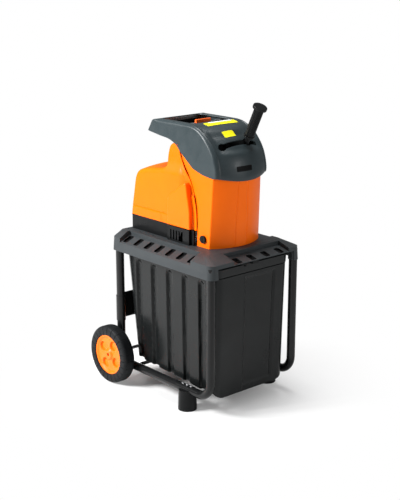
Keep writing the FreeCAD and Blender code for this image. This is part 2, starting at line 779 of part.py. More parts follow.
def feed_chute():
    """The inner hopper that leads from the mouth down to the cutter."""
    outer = [(-80, 896), (-150, 858), (-194, 828), (-197, 760), (-196, 653), (-122, 653), (-118, 690),
             (-18, 833),
             (12, 862), (92, 876), (92, 896)]
    wall = 2.5
    inner = [(-84, 897), (-149, 861), (-191, 830), (-194, 760), (-193, 640), (-125, 640), (-121, 690),
             (-20, 837),
             (11, 865), (89, 879), (89, 897)]
    shell = prism("x", outer, -86, 86).cut(prism("x", inner, -83.5, 83.5))
    shell = shell.cut(block((-200, -210, 600), (-66, 0, 690))).cut(block((66, -210, 600), (200, 0, 690)))
    shell = shell.cut(block((-64, -210, 600), (64, -193, 660)))
    front_gap = block((-84, -152, 800), (84, -78, 900))
    shell = shell.cut(front_gap).cut(block((-90, -215, 815), (90, -140, 900)))
    ledges = block((-86, -196, 690), (-63, -122, 692.5)).fuse(block((63, -196, 690), (86, -122, 692.5)))
    walls = block((-66, -196, 653), (-63.5, -122, 692)).fuse(block((63.5, -196, 653), (66, -122, 692)))
    shell = shell.fuse(ledges).fuse(walls)
    for side, sign in SIDES:
        ear = block((83.5, -36, 880), (86, -20, 907.9))
        ear.translate(Vector(0 if sign > 0 else -169.5, 0, 0))
        shell = shell.fuse(ear)
    shell = shell.cut(Part.makeCylinder(2.05, 200, Vector(-100, -28, 903), X_AXIS))
    solids = sorted(shell.Solids, key=lambda solid: -solid.Volume)
    node("feed_chute", feature(solids[0]))


def feed_flap():
    """The orange splash flap, hung in the mouth on a cross pin."""
    y, z = -28, 903
    plate = box((-31, y - 5, 862), (31, y + 3, 914))
    ribs = [box((x - 2.5, y + 2.9, 866), (x + 2.5, y + 7, 912)) for x in (-24, -8, 8, 24)]
    bore = rod("x", (y, z), -40, 40, 2.05)
    node("feed_flap", cut(fuse(plate, *ribs), bore))
    node("flap_pin", rod("x", (y, z), -85.9, 85.9, 2))


# ---------------------------------------------------------------- tamper
def aligned(item, along, across=None):
    """Put a part drawn about the z axis on the tamper's sloping axis."""
    turn = FreeCAD.Rotation(Z_AXIS, TAMPER_SLOPE)
    spot = Vector(across if across is not None else TAMPER_SPOT, 0, 0) + TAMPER_FOOT + TAMPER_SLOPE * along
    item.Placement = FreeCAD.Placement(spot, turn)
    return item


def tamper():
    shaft = doc.addObject("Part::Cylinder", "shaft")
    shaft.Radius = 8
    shaft.Height = 155
    aligned(shaft, -40)
    blade = doc.addObject("Part::Box", "blade")
    blade.Length = 136
    blade.Width = 5
    blade.Height = 130
    turn = FreeCAD.Rotation(Z_AXIS, TAMPER_SLOPE)
    corner = turn.multVec(Vector(-68, -2.5, -160))
    blade.Placement = FreeCAD.Placement(TAMPER_FOOT + corner, turn)
    node("tamper_blade", fuse(shaft, blade))
    collar = doc.addObject("Part::Cylinder", "collar")
    collar.Radius = 18
    collar.Height = 6
    aligned(collar, 9)
    bore = doc.addObject("Part::Cylinder", "bore")
    bore.Radius = 8.05
    bore.Height = 300
    aligned(bore, -100)
    node("tamper_collar", cut(collar, bore))
    grip = doc.addObject("Part::Cylinder", "grip")
    tie(grip, "Radius", "grip_radius")
    grip.Height = 97
    aligned(grip, 15.1)
    node("tamper_grip", cut(grip, bore))
    knob = doc.addObject("Part::Cylinder", "knob")
    tie(knob, "Radius", "knob_radius")
    knob.Height = 9
    aligned(knob, 112.2)
    pit = doc.addObject("Part::Cylinder", "pit")
    pit.Radius = 8.05
    pit.Height = 3.4
    aligned(pit, 112)
    node("tamper_knob", cut(knob, pit))


# ---------------------------------------------------------------- cutter and plate
def cutter():
    x, z = "cutter_x", "cutter_height"
    node("cutter_shaft", rod("y", (x, z), -195, -59.2, "shaft_radius"))
    teeth = 8
    outer = size("roller_radius")
    spots = []
    for index in range(teeth):
        turn = 2 * math.pi * index / teeth
        for lead, reach in ((0, outer), (0.10, outer - 1.5), (0.32, outer - 12), (0.66, outer - 9)):
            spots.append((reach * math.cos(turn + lead), reach * math.sin(turn + lead)))
    face = Part.Face(loop([(size(x) + a, -186, size(z) + b) for a, b in spots]))
    roller = face.extrude(Vector(0, 56, 0))
    bore = Part.makeCylinder(size("shaft_radius") + 0.02, 80, Vector(size(x), -200, size(z)), Y_AXIS)
    node("cutter_roller", feature(roller.cut(bore)))
    corners = []
    for index in range(6):
        turn = math.radians(60 * index)
        corners.append(("cutter_x + %.3f" % (17 * math.cos(turn)),
                        "cutter_height + %.3f" % (17 * math.sin(turn))))
    node("roller_nut", cut(pad("y", corners, -192.5, -186.1),
                           rod("y", (x, z), -200, -180, "shaft_radius + 0.02")))


def chamber():
    """The steel casing round the cutter."""
    walls = cut(box((-66, -200, "deck_top + 0.1"), (66, -122, 652.8)),
                box((-62, -196, 500), (62, -126, 700)))
    shaft_hole = rod("y", ("cutter_x", "cutter_height"), -130, -110, "shaft_radius + 0.6")
    screw_hole = rod("x", KNOB_PLACE, -80, -50, 5.05)
    node("cutting_chamber", cut(walls, shaft_hole, screw_hole))
    plate = box((-52, -195.5, 540), (-33.5, -126.5, 640))
    bore = rod("x", KNOB_PLACE, -60, -38, 5.05)
    node("pressure_plate", cut(plate, bore))
    node("adjuster_screw", fuse(rod("x", KNOB_PLACE, -108.5, -47, 5), rod("x", KNOB_PLACE, -70, -66.1, 9)))
    knob = fuse(rod("x", KNOB_PLACE, -114.5, -108.6, 12.5), rod("x", KNOB_PLACE, -108.7, -103, 6.5))
    slot = box((-116, KNOB_PLACE[0] - 1.2, KNOB_PLACE[1] - 9),
               (-112.8, KNOB_PLACE[0] + 1.2, KNOB_PLACE[1] + 9))
    bore = rod("x", KNOB_PLACE, -108.6, -100, 5.02)
    node("adjuster_knob", cut(knob, slot, bore))


# ---------------------------------------------------------------- gears
def gear(teeth, module, centre, start, width, toward, gap_first, bore):
    """An involute spur gear on a y axis; a tooth, or a gap when gap_first, points along toward (radians)."""
    pitch = teeth * module / 2
    base = pitch * math.cos(math.radians(20))
    tip, root = pitch + 0.92 * module, pitch - 1.25 * module
    inv = math.tan(math.radians(20)) - math.radians(20)
    slack = 0.06
    half = math.pi / (2 * teeth) - slack / pitch
    flank = []
    low = max(base, root)
    steps = 5
    for index in range(steps + 1):
        reach = low + (tip - low) * index / steps
        angle = math.acos(min(1, base / reach))
        flank.append((reach, half + inv - (math.tan(angle) - angle)))
    spots = []
    offset = toward + (math.pi / teeth if gap_first else 0)
    for tooth in range(teeth):
        centre_angle = offset + 2 * math.pi * tooth / teeth
        if root < base:
            spots.append((root, centre_angle - flank[0][1] * 1.08))
        spots += [(reach, centre_angle - angle) for reach, angle in flank]
        spots += [(reach, centre_angle + angle) for reach, angle in reversed(flank)]
        if root < base:
            spots.append((root, centre_angle + flank[0][1] * 1.08))
    x, z = centre
    outline = loop([(x + reach * math.cos(angle), start, z + reach * math.sin(angle)) for reach,
                    angle in spots])
    solid = Part.Face(outline).extrude(Vector(0, width, 0))
    if bore:
        solid = solid.cut(Part.makeCylinder(bore, width + 2, Vector(x, start - 1, z), Y_AXIS))
    return solid


PINION_TEETH, WHEEL_TEETH, SMALL_TEETH, OUTPUT_TEETH = 12, 52, 13, 45
FINE, COARSE = 1.5, 2.0


def gear_centres():
    motor = Vector(0, 0, size("motor_height"))
    output = Vector(size("cutter_x"), 0, size("cutter_height"))
    near = (SMALL_TEETH + OUTPUT_TEETH) * COARSE / 2
    far = (PINION_TEETH + WHEEL_TEETH) * FINE / 2
    line = motor - output
    gap = line.Length
    line.normalize()
    side = Vector(line.z, 0, -line.x)
    along = (near * near - far * far + gap * gap) / (2 * gap)
    idler = output + line * along + side * math.sqrt(near * near - along * along)
    return motor, idler, output


def bearing(centre, start, outer, inner, width=8):
    x, z = centre
    solid = Part.makeCylinder(outer, width, Vector(x, start, z), Y_AXIS)
    solid = solid.cut(Part.makeCylinder(inner, width + 2, Vector(x, start - 1, z), Y_AXIS))
    for side in (start - 0.1, start + width - 0.8):
        groove = Part.makeCylinder(outer - 2.5, 0.9, Vector(x, side, z), Y_AXIS)
        groove = groove.cut(Part.makeCylinder(inner + 2, 0.9, Vector(x, side, z), Y_AXIS))
        solid = solid.cut(groove)
    return solid


def gearbox():
    motor, idler, output = gear_centres()

    def facing(a, b):
        return math.atan2(b.z - a.z, b.x - a.x)
    pinion = gear(PINION_TEETH, FINE, (motor.x, motor.z), -84, 12, facing(motor, idler), False, 0)
    journal = Part.makeCylinder(size("rotor_shaft_radius"), 192, Vector(motor.x, -64, motor.z), Y_AXIS)
    nose = Part.makeCylinder(size("rotor_shaft_radius") - 1, 20, Vector(motor.x, -84, motor.z), Y_AXIS)
    node("rotor_shaft", feature(pinion.fuse(nose).fuse(journal)))
    big = gear(WHEEL_TEETH, FINE, (idler.x, idler.z), -83, 10, facing(idler, motor), True, 0)
    small = gear(SMALL_TEETH, COARSE, (idler.x, idler.z), -103, 20.2, facing(idler, output), False, 0)
    spindle = Part.makeCylinder(6, 52, Vector(idler.x, -112, idler.z), Y_AXIS)
    node("idler_gear", feature(big.fuse(small).fuse(spindle)))
    node("output_gear", feature(gear(OUTPUT_TEETH, COARSE, (output.x, output.z), -102, 16,
                                     facing(output, idler), True, size("shaft_radius") + 0.02)))
    low, high = (-56, 533.2), (96, 690)
    case = block((low[0], -118, low[1]), (high[0], -64, high[1]))
    case = case.cut(block((low[0] + 5, -110, low[1] + 5), (high[0] - 5, -60, high[1] - 5)))
    flange = block((-72, -118, size("deck_top") + 0.1), (112, -64, 534))
    case = case.fuse(flange)
    case = case.cut(block((low[0] + 5, -110, 534.1), (high[0] - 5, -60, 560)))
    for x, y in GEARBOX_BOLTS:
        case = case.cut(Part.makeCylinder(3.1, 30, Vector(x, y, 520), Z_AXIS))
        case = case.cut(Part.makeCylinder(5.6, 40, Vector(x, y, 534.0), Z_AXIS))
    hole = Part.makeCylinder(21.02, 8.2, Vector(output.x, -118.1, output.z), Y_AXIS)
    case = case.cut(hole).cut(Part.makeCylinder(6.05, 6, Vector(idler.x, -114, idler.z), Y_AXIS))
    node("gearbox_housing", feature(case))
    lid = block((low[0], -63.9, low[1] + 1), (high[0], -56, high[1]))
    lid = lid.cut(Part.makeCylinder(21.02, 5.1, Vector(output.x, -64, output.z), Y_AXIS))
    lid = lid.cut(Part.makeCylinder(6.05, 4.2, Vector(idler.x, -64, idler.z), Y_AXIS))
    lid = lid.cut(Part.makeCylinder(16.02, 8.2, Vector(motor.x, -64, motor.z), Y_AXIS))
    node("gearbox_lid", feature(lid))
    rings = [bearing((output.x, output.z), -118, 21, size("shaft_radius") + 0.03),
             bearing((output.x, output.z), -63.9, 21, size("shaft_radius") + 0.03, 5)]
    rings += [bearing((motor.x, motor.z), -64, 16, size("rotor_shaft_radius") + 0.03),
              bearing((motor.x, motor.z), 88, 16, size("rotor_shaft_radius") + 0.03)]
    node("bearings", feature(Part.makeCompound(rings)))
    bolts = [fuse(rod("z", (x, y), 519, 534.1, 3), rod("z", (x, y), 534.1, 539, 5)) for x,
             y in GEARBOX_BOLTS]
    node("gearbox_bolts", group(*bolts))


# ---------------------------------------------------------------- motor
def spokes(count, low, high):
    """Boxes spread evenly round the motor's axis, each drawn as it stands above that axis."""
    boxes = []
    for index in range(count):
        spoke = box((0, 0, 0), [b - a for a, b in zip(low, high)])
        spin = FreeCAD.Rotation(Y_AXIS, 360.0 * index / count)
        centre = Vector(0, 0, size("motor_height"))
        spoke.Placement = FreeCAD.Placement(centre + spin.multVec(Vector(*low)), spin)
        boxes.append(spoke)
    return boxes


def motor():
    x, z = 0, "motor_height"
    core = ring("y", (x, z), -30, 60, "stator_radius", "rotor_radius + 0.8")
    coils = [ring("y", (x, z), -46, -30, "stator_radius - 8", "rotor_radius + 4"),
             ring("y", (x, z), 60, 76, "stator_radius - 8", "rotor_radius + 4")]
    node("motor_stator", core)
    node("motor_windings", group(*coils))
    node("motor_rotor", ring("y", (x, z), -30, 60, "rotor_radius", "rotor_shaft_radius + 0.02"))
    blades = spokes(8, (-1.2, 103.9, 13), (1.2, 120, 46))
    disc = ring("y", (x, z), 100, 104, 46, "rotor_shaft_radius + 0.02")
    boss = ring("y", (x, z), 103.9, 120, 14, "rotor_shaft_radius + 0.02")
    node("cooling_fan", fuse(disc, boss, *blades))
    bell = cut(rod("y", (x, z), 76.1, 96, "stator_radius"), rod("y", (x, z), 70, 88, "stator_radius - 4"),
               rod("y", (x, z), 70, 100, 16.02))
    windows = spokes(6, (-8, 80, 24), (8, 100, 44))
    spacer = ring("y", (x, z), 60.1, 76.1, "stator_radius", "stator_radius - 5")
    front_spacer = ring("y", (x, z), -55.9, -30.1, "stator_radius", "stator_radius - 5")
    node("motor_end_bells", group(fuse(cut(bell, *windows), spacer), front_spacer))
    can = rod("y", (-88, 612), -20, 60, 17)
    tabs = [box((-92, 59.9, 616), (-91, 70, 622)), box((-85, 59.9, 616), (-84, 70, 622))]
    node("run_capacitor", fuse(can, *tabs))
    cradle = cut(box((-70, -20, "deck_top + 0.1"), (70, 50, 625)),
                 rod("y", (x, z), -30, 60, "stator_radius + 0.1"))
    node("motor_cradle", cut(cradle, box((-60, -25, 500), (60, 55, 575))))


# ---------------------------------------------------------------- controls
def controls():
    plate = prism("x", [(8.5, 788), (24.5, 788), (20.5, 802), (15.5, 822), (10.4, 838.5), (4.5, 838.5)],
                  -59.7, 59.7)
    face = prism("x", [(24.8, 786), (27.8, 787), (24.4, 802.5), (16.5, 829.5), (12, 840.5), (9, 839.5),
                       (13.4, 828), (21.3, 802)], -64, 64)
    whole = plate.fuse(face)
    slope = Vector(0, 0.966, 0.26).normalize()
    for name, x, radius in BUTTONS:
        start = Vector(x, 19.5, 813) - slope * 30
        whole = whole.cut(Part.makeCylinder(radius + 0.3, 60, start, slope))
    node("switch_panel", feature(whole))
    for name, x, radius in BUTTONS:
        start = Vector(x, 19.5, 813) - slope * 8
        cap = Part.makeCylinder(radius, 15, start, slope)
        rim = [edge for edge in cap.Edges if edge.CenterOfMass.sub(start).dot(slope) > 14]
        cap = cap.makeFillet(1.2, rim[:1])
        node(name, feature(cap))
    node("switch_body", box((-58, -18, 790), (58, 3, 822)))
    rim = ring("y", (52, 640), 205, 208.5, 20, 14)
    sleeve = ring("y", (52, 640), 176, 205.1, 16.8, 14)
    floor = rod("y", (52, 640), 176, 179, 14.1)
    pins = [rod("y", across, 178.9, 198, 2.4) for across in ((46, 640), (58, 640), (52, 648))]
    node("power_inlet", fuse(rim, sleeve, floor, *pins))


BUTTONS = [("on_button", -30, 11), ("off_button", 2, 11), ("reset_button", 34, 7)]


# ---------------------------------------------------------------- build everything
for side_name, side_sign in SIDES:
    side_tubes(side_name, side_sign)
    wheel(side_name, side_sign)
joiners()
feet()
crossbars()
axle()
deck()
collection_box()
box_lock()
tower()
motor_cover()
motor_base()
hood()
feed_chute()
feed_flap()
tamper()
cutter()
chamber()
gearbox()
motor()
controls()
doc.recompute()

for item in doc.Objects:
    if "Invalid" in item.State or "Error" in item.State:
        users = [user.Label for user in item.InListRecursive]
        raise RuntimeError("%s in %s failed: %s" % (item.Name, users, item.State))
os.makedirs("parts", exist_ok=True)
for name, item in NODES.items():
    shape = item.Shape
    if shape.isNull() or not shape.isValid():
        raise RuntimeError("%s has no valid shape" % name)
    shape.exportStep(os.path.join("parts", name + ".step"))
print(len(NODES), "sub-parts")
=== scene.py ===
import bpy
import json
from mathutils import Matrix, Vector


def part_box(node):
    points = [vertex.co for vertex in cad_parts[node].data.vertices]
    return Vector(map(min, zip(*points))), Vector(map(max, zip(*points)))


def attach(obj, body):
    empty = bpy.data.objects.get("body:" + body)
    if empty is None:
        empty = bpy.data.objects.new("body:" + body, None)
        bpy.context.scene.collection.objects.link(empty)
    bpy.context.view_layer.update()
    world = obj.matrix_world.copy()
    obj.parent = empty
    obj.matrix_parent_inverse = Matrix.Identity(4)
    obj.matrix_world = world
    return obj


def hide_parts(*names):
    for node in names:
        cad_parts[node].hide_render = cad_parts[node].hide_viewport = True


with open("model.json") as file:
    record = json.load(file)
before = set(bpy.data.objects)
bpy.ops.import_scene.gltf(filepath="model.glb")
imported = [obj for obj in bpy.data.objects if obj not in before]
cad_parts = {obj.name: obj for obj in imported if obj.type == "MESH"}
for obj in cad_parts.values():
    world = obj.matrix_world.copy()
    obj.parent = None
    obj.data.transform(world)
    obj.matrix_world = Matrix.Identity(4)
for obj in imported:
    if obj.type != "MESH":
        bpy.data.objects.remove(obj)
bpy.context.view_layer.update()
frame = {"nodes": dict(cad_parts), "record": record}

import json
import math

import bmesh
import bpy
from mathutils import Vector

MM = 0.001
scene = bpy.context.scene
NODES = frame["nodes"]
NODE_SLOT = {part["node"]: part["material_slot"] for part in frame["record"]["subparts"]}
BODIES = frame["record"]["behaviour"]["bodies"]
NODE_BODY = {node: body for body, members in BODIES.items() for node in members}
SIDES = (("left", -1), ("right", 1))


# ---------------------------------------------------------------- small maths
def smooth(value, low, high):
    """0 below low, 1 above high, and an even curve between them. low may be the larger one."""
    share = min(1.0, max(0.0, (value - low) / (high - low)))
    return share * share * (3 - 2 * share)


def mix(a, b, share):
    return a + (b - a) * share


def smooth_line(value, low, high):
    """0 at low, 1 at high, and a straight line between them."""
    return min(1.0, max(0.0, (value - low) / (high - low)))


def between(table, place):
    """Straight-line reading of a list of (place, value, ...) rows."""
    if place <= table[0][0]:
        return table[0][1:]
    for low, high in zip(table, table[1:]):
        if place <= high[0]:
            share = (place - low[0]) / (high[0] - low[0])
            return tuple(mix(a, b, share) for a, b in zip(low[1:], high[1:]))
    return table[-1][1:]


def spline(points, count):
    """Points evenly spread along a Catmull-Rom curve through the given ones."""
    points = [Vector(p) for p in points]
    dense = []
    for index in range(len(points) - 1):
        before = points[max(index - 1, 0)]
        start, end = points[index], points[index + 1]
        after = points[min(index + 2, len(points) - 1)]
        for step in range(12):
            t = step / 12
            dense.append(0.5 * (2 * start + (end - before) * t
                                + (2 * before - 5 * start + 4 * end - after) * t * t
                                + (3 * start - before - 3 * end + after) * t ** 3))
    dense.append(points[-1])
    return even(dense, count)


def even(points, count):
    """The same line, cut into count evenly spaced points."""
    runs = [0.0]
    for a, b in zip(points, points[1:]):
        runs.append(runs[-1] + (b - a).length)
    result, at = [], 0
    for index in range(count):
        goal = runs[-1] * index / (count - 1)
        while at < len(points) - 2 and runs[at + 1] < goal:
            at += 1
        span = runs[at + 1] - runs[at]
        result.append(points[at].lerp(points[at + 1], (goal - runs[at]) / span if span else 0))
    return result


def rounded_outline(left, right, front, rear, radius, long_side=30, short_side=30, arc=8):
    """A rounded rectangle as points, counter-clockwise seen from above, starting on the front edge.
    The sides along y get long_side pieces, and those along x get short_side pieces."""
    points = []
    corners = ((right - radius, front + radius, -90), (right - radius, rear - radius, 0),
               (left + radius, rear - radius, 90), (left + radius, front + radius, 180))
    for index, (x, y, turn) in enumerate(corners):
        for part in range(arc + 1):
            angle = math.radians(turn + 90 * part / arc)
            points.append(Vector((x + radius * math.cos(angle), y + radius * math.sin(angle))))
        x2, y2, turn2 = corners[(index + 1) % 4]
        angle = math.radians(turn2)
        target = Vector((x2 + radius * math.cos(angle), y2 + radius * math.sin(angle)))
        gap = target - points[-1]
        pieces = short_side if index % 2 else long_side
        start = points[-1].copy()
        for part in range(1, pieces):
            points.append(start + gap * part / pieces)
    return points


# ---------------------------------------------------------------- mesh building
def mesh_object(name, verts, faces):
    mesh = bpy.data.meshes.new(name)
    mesh.from_pydata([(x * MM, y * MM, z * MM) for x, y, z in verts], [], faces)
    mesh.validate()
    piece = bpy.data.objects.new(name, mesh)
    scene.collection.objects.link(piece)
    return piece


def grid(name, rows, wrap=False, close_first=False, close_last=False):
    """A surface through rows of points, in millimetres. wrap joins each row's ends."""
    across = len(rows[0])
    verts = [tuple(point) for row in rows for point in row]
    faces = []
    for row in range(len(rows) - 1):
        for column in range(across if wrap else across - 1):
            beside = (column + 1) % across
            faces.append((row * across + column, row * across + beside,
                          (row + 1) * across + beside, (row + 1) * across + column))
    if close_first:
        faces.append(tuple(reversed(range(across))))
    if close_last:
        start = (len(rows) - 1) * across
        faces.append(tuple(range(start, start + across)))
    return mesh_object(name, verts, faces)


def outward(piece):
    """Turns every face so that it looks away from the middle of the piece."""
    work = bmesh.new()
    work.from_mesh(piece.data)
    bmesh.ops.remove_doubles(work, verts=work.verts, dist=1e-6)
    bmesh.ops.recalc_face_normals(work, faces=work.faces)
    if any(edge.is_boundary for edge in work.edges):
        middle = sum((vert.co for vert in work.verts), Vector()) / len(work.verts)
        facing = sum(face.normal.dot(face.calc_center_median() - middle) * face.calc_area()
                     for face in work.faces)
        if facing < 0:
            bmesh.ops.reverse_faces(work, faces=work.faces)
    work.to_mesh(piece.data)
    work.free()
    return piece


def thicken(piece, wall):
    """Gives an open surface a wall on its inner side, and closes its rims."""
    apply(piece, "SOLIDIFY", thickness=wall * MM, offset=-1, use_rim=True, use_even_offset=False)
    work = bmesh.new()
    work.from_mesh(piece.data)
    bmesh.ops.recalc_face_normals(work, faces=work.faces)
    work.to_mesh(piece.data)
    work.free()
    return piece


def apply(piece, kind, **settings):
    modifier = piece.modifiers.new(kind.lower(), kind)
    for key, value in settings.items():
        setattr(modifier, key, value)
    bpy.context.view_layer.objects.active = piece
    bpy.ops.object.modifier_apply(modifier=modifier.name)
    return piece


def cut(piece, *cutters, crossing=False):
    """Takes the cutters away from a piece. crossing allows for a piece whose walls run into each other."""
    for cutter in cutters:
        apply(piece, "BOOLEAN", operation="DIFFERENCE", solver="EXACT", object=cutter, use_self=crossing)
        bpy.data.objects.remove(cutter)
    return piece


def crisp(piece, width=0.0, segments=2, angle=32):
    """Rounds the sharp edges a little and shades everything else smooth."""
    if width:
        work = bmesh.new()
        work.from_mesh(piece.data)
        bmesh.ops.remove_doubles(work, verts=work.verts, dist=2e-6)
        bmesh.ops.dissolve_limit(work, angle_limit=math.radians(1.5), verts=work.verts, edges=work.edges)
        work.to_mesh(piece.data)
        work.free()
        apply(piece, "BEVEL", width=width * MM, segments=segments, limit_method="ANGLE",
              angle_limit=math.radians(angle), use_clamp_overlap=True, miter_outer="MITER_ARC")
    for face in piece.data.polygons:
        face.use_smooth = True
    piece.data.set_sharp_from_angle(angle=math.radians(angle))
    apply(piece, "WEIGHTED_NORMAL", keep_sharp=True, weight=60)
    return piece


def prism(axis, corners, start, end):
    """A straight-sided cutter: corners in the plane across the axis."""
    def spot(pair, along):
        a, b = pair
        return {"x": (along, a, b), "y": (a, along, b), "z": (a, b, along)}[axis]
    rows = [[spot(pair, along) for pair in corners] for along in (start, end)]
    return outward(grid("cutter", rows, wrap=True, close_first=True, close_last=True))


def sweep(points, radius, around=28):
    """A round tube along a list of points."""
    rows = []
    for index, point in enumerate(points):
        ahead = points[min(index + 1, len(points) - 1)] - points[max(index - 1, 0)]
        ahead.normalize()
        side = Vector((1, 0, 0))
        up = ahead.cross(side)
        rows.append([point + radius * (math.cos(a) * side + math.sin(a) * up)
                     for a in (2 * math.pi * k / around for k in range(around))])
    return rows


def spin(profile, place, axis, around):
    """Rings of a turned shape. profile is a list of (distance along the axis, radius)."""
    axis = Vector(axis).normalized()
    side = axis.orthogonal().normalized()
    up = axis.cross(side)
    rows = []
    for along, radius in profile:
        row = []
        for k in range(around):
            angle = 2 * math.pi * k / around
            row.append(Vector(place) + axis * along
                       + radius * (math.cos(angle) * side + math.sin(angle) * up))
        rows.append(row)
    return rows


# ---------------------------------------------------------------- materials
def plastic(name, color, rough, grain=0.0, grain_size=900, patches=0.06, metal=0.0, edge=0.12, streak=None,
            shine=0.25):
    """Moulded, painted or metal surface: mottled colour, uneven roughness, fine grain and rubbed edges.
    patches and edge say how strong the mottling and the rubbing are; streak stretches the grain."""
    made = bpy.data.materials.new(name)
    made.use_nodes = True
    tree = made.node_tree
    shader = tree.nodes["Principled BSDF"]
    shader.inputs["Metallic"].default_value = metal
    shader.inputs["Specular IOR Level"].default_value = 0.5 if metal else shine
    where = tree.nodes.new("ShaderNodeTexCoord")

    def noise(scale, detail, stretch=None):
        source = tree.nodes.new("ShaderNodeTexNoise")
        source.inputs["Scale"].default_value = scale
        source.inputs["Detail"].default_value = detail
        if stretch:
            mapping = tree.nodes.new("ShaderNodeMapping")
            mapping.inputs["Scale"].default_value = stretch
            tree.links.new(where.outputs["Object"], mapping.inputs["Vector"])
            tree.links.new(mapping.outputs["Vector"], source.inputs["Vector"])
        else:
            tree.links.new(where.outputs["Object"], source.inputs["Vector"])
        return source

    def ramp(source, low, high, start=0.3, stop=0.7):
        steps = tree.nodes.new("ShaderNodeValToRGB")
        steps.color_ramp.elements[0].position = start
        steps.color_ramp.elements[1].position = stop
        steps.color_ramp.elements[0].color = low
        steps.color_ramp.elements[1].color = high
        tree.links.new(source, steps.inputs["Fac"])
        return steps

    dark = [value * (1 - patches) for value in color] + [1]
    light = [min(1, value * (1 + patches)) for value in color] + [1]
    mottled = ramp(noise(14, 5).outputs["Fac"], dark, light)
    worn = tree.nodes.new("ShaderNodeMix")
    worn.data_type = "RGBA"
    shape = tree.nodes.new("ShaderNodeNewGeometry")
    rubbed = ramp(shape.outputs["Pointiness"], (0, 0, 0, 1), (edge, edge, edge, 1), 0.5, 0.58)
    tree.links.new(rubbed.outputs["Color"], worn.inputs["Factor"])
    tree.links.new(mottled.outputs["Color"], worn.inputs["A"])
    worn.inputs["B"].default_value = [min(1, value * 1.5 + 0.08) for value in color] + [1]
    tree.links.new(worn.outputs["Result"], shader.inputs["Base Color"])
    spread = rough * 0.18
    uneven = ramp(noise(34, 6, streak).outputs["Fac"], (rough - spread,) * 3 + (1,),
                  (rough + spread,) * 3 + (1,))
    tree.links.new(uneven.outputs["Color"], shader.inputs["Roughness"])
    if grain:
        bump = tree.nodes.new("ShaderNodeBump")
        bump.inputs["Strength"].default_value = grain
        bump.inputs["Distance"].default_value = 0.0004
        tree.links.new(noise(grain_size, 3, streak).outputs["Fac"], bump.inputs["Height"])
        tree.links.new(bump.outputs["Normal"], shader.inputs["Normal"])
    return made


MATERIALS = {
    "shell_orange": plastic("shell_orange", (1.0, 0.148, 0.0005), 0.36, 0.05, 700, 0.03, edge=0.02,
                            shine=0.12),
    "hub_orange": plastic("hub_orange", (1.0, 0.165, 0.001), 0.40, 0.06, 700, 0.04, edge=0.03),
    "flap_orange": plastic("flap_orange", (0.9, 0.12, 0.004), 0.42, 0.06, 700, 0.05),
    "hood_grey": plastic("hood_grey", (0.026, 0.037, 0.041), 0.38, 0.15, 1100, 0.05, edge=0.05, shine=0.3),
    "deck_grey": plastic("deck_grey", (0.036, 0.041, 0.044), 0.44, 0.25, 1000, 0.06, edge=0.05, shine=0.16),
    "box_black": plastic("box_black", (0.0075, 0.0085, 0.0087), 0.22, 0.03, 300, 0.12, edge=0.03,
                         shine=0.15),
    "black_plastic": plastic("black_plastic", (0.006, 0.0064, 0.0067), 0.32, 0.1, 1000, 0.1, edge=0.02,
                             shine=0.1),
    "frame_black": plastic("frame_black", (0.006, 0.0064, 0.0067), 0.22, 0.02, 200, 0.08, edge=0.02,
                           shine=0.2),
    # painted shadow: a near-black material that stands in for the shade inside the deck's slots
    "slot_shadow": plastic("slot_shadow", (0.004, 0.0043, 0.0046), 0.6, 0.1, 900, 0.1, edge=0.0, shine=0.1),
    "tyre": plastic("tyre", (0.009, 0.010, 0.011), 0.5, 0.3, 800, 0.12, edge=0.03, shine=0.1),
    "steel": plastic("steel", (0.56, 0.56, 0.58), 0.32, 0.1, 500, 0.08, metal=1.0, streak=(1, 1, 12)),
    "tool_steel": plastic("tool_steel", (0.33, 0.33, 0.35), 0.35, 0.15, 500, 0.1, metal=1.0,
                          streak=(12, 1, 1)),
    "aluminium": plastic("aluminium", (0.62, 0.63, 0.65), 0.45, 0.3, 600, 0.06, metal=1.0),
    "core_steel": plastic("core_steel", (0.18, 0.18, 0.2), 0.5, 0.5, 300, 0.1, metal=1.0, streak=(1, 60, 1)),
    "copper": plastic("copper", (0.62, 0.22, 0.09), 0.35, 0.6, 200, 0.1, metal=1.0, streak=(1, 40, 1)),
    "brass": plastic("brass", (0.62, 0.45, 0.16), 0.3, 0.2, 500, 0.06, metal=1.0),
    "button_green": plastic("button_green", (0.02, 0.30, 0.05), 0.35, 0.05, 600, 0.05),
    "button_red": plastic("button_red", (0.55, 0.015, 0.012), 0.35, 0.05, 600, 0.05),
    "button_black": plastic("button_black", (0.012, 0.012, 0.012), 0.35, 0.1, 600, 0.05),
    "label_yellow": plastic("label_yellow", (0.90, 0.82, 0.008), 0.35, 0.02, 300, 0.03, edge=0.0),
    "label_white": plastic("label_white", (0.75, 0.76, 0.74), 0.35, 0.02, 300, 0.03, edge=0.0),
    "label_black": plastic("label_black", (0.004, 0.004, 0.004), 0.4, 0.02, 300, 0.1, edge=0.0, shine=0.05),
}


def paint(piece, material):
    piece.data.materials.clear()
    piece.data.materials.append(MATERIALS[material])
    return piece


def finish_piece(piece, *nodes, body=None, material=None):
    """Puts a finished mesh on its body, with its finish, in place of the CAD nodes it stands for."""
    slot = NODE_SLOT[nodes[0]] if nodes else material
    paint(piece, material or slot)
    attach(piece, body or NODE_BODY[nodes[0]])
    if nodes:
        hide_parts(*nodes)
    return piece


def soften(node, width, segments=2):
    """A copy of a CAD node with its hard edges rounded."""
    piece = bpy.data.objects.new(node + "_skin", NODES[node].data.copy())
    scene.collection.objects.link(piece)
    crisp(piece, width, segments)
    return finish_piece(piece, node)


# ---------------------------------------------------------------- housings
SIDE_SLOTS = [-175.5 + 54.7 * index for index in range(7)]
FRONT_SLOTS = [-70 + 61 * index for index in range(4)]
SLOT_REACH = 11.7


